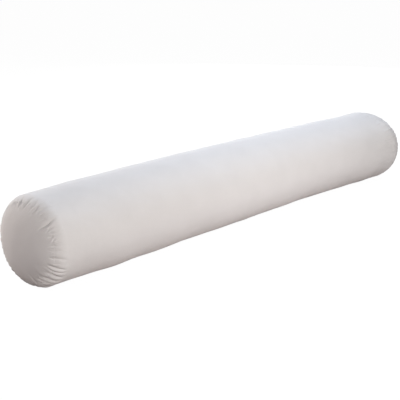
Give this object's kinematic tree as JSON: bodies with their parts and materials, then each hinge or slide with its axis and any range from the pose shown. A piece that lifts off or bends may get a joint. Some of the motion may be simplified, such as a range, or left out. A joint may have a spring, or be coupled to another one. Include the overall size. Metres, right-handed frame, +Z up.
{
  "type": "body pillow",
  "caption": "Long round cloth bolster, firmly filled, its tube closed by domed round end panels with puckered seams.",
  "frame": {"origin": "centre of the pillow's box, on the surface it lies on", "axes": "+X along the pillow to its far end, +Z up, +Y to its back; the pillow is built as it lies"},
  "size_m": [1.3562, 0.2238, 0.1999],
  "materials": {
    "tube_cotton": "matt white plain-weave cotton, soft and faintly fuzzy",
    "end_cotton": "matt white plain-weave cotton, gathered in small puckers at the seam"
  },
  "bodies": {
    "root": {"filled_tube": "tube_cotton", "end_panel_near": "end_cotton", "end_panel_far": "end_cotton"}
  },
  "joints": []
}
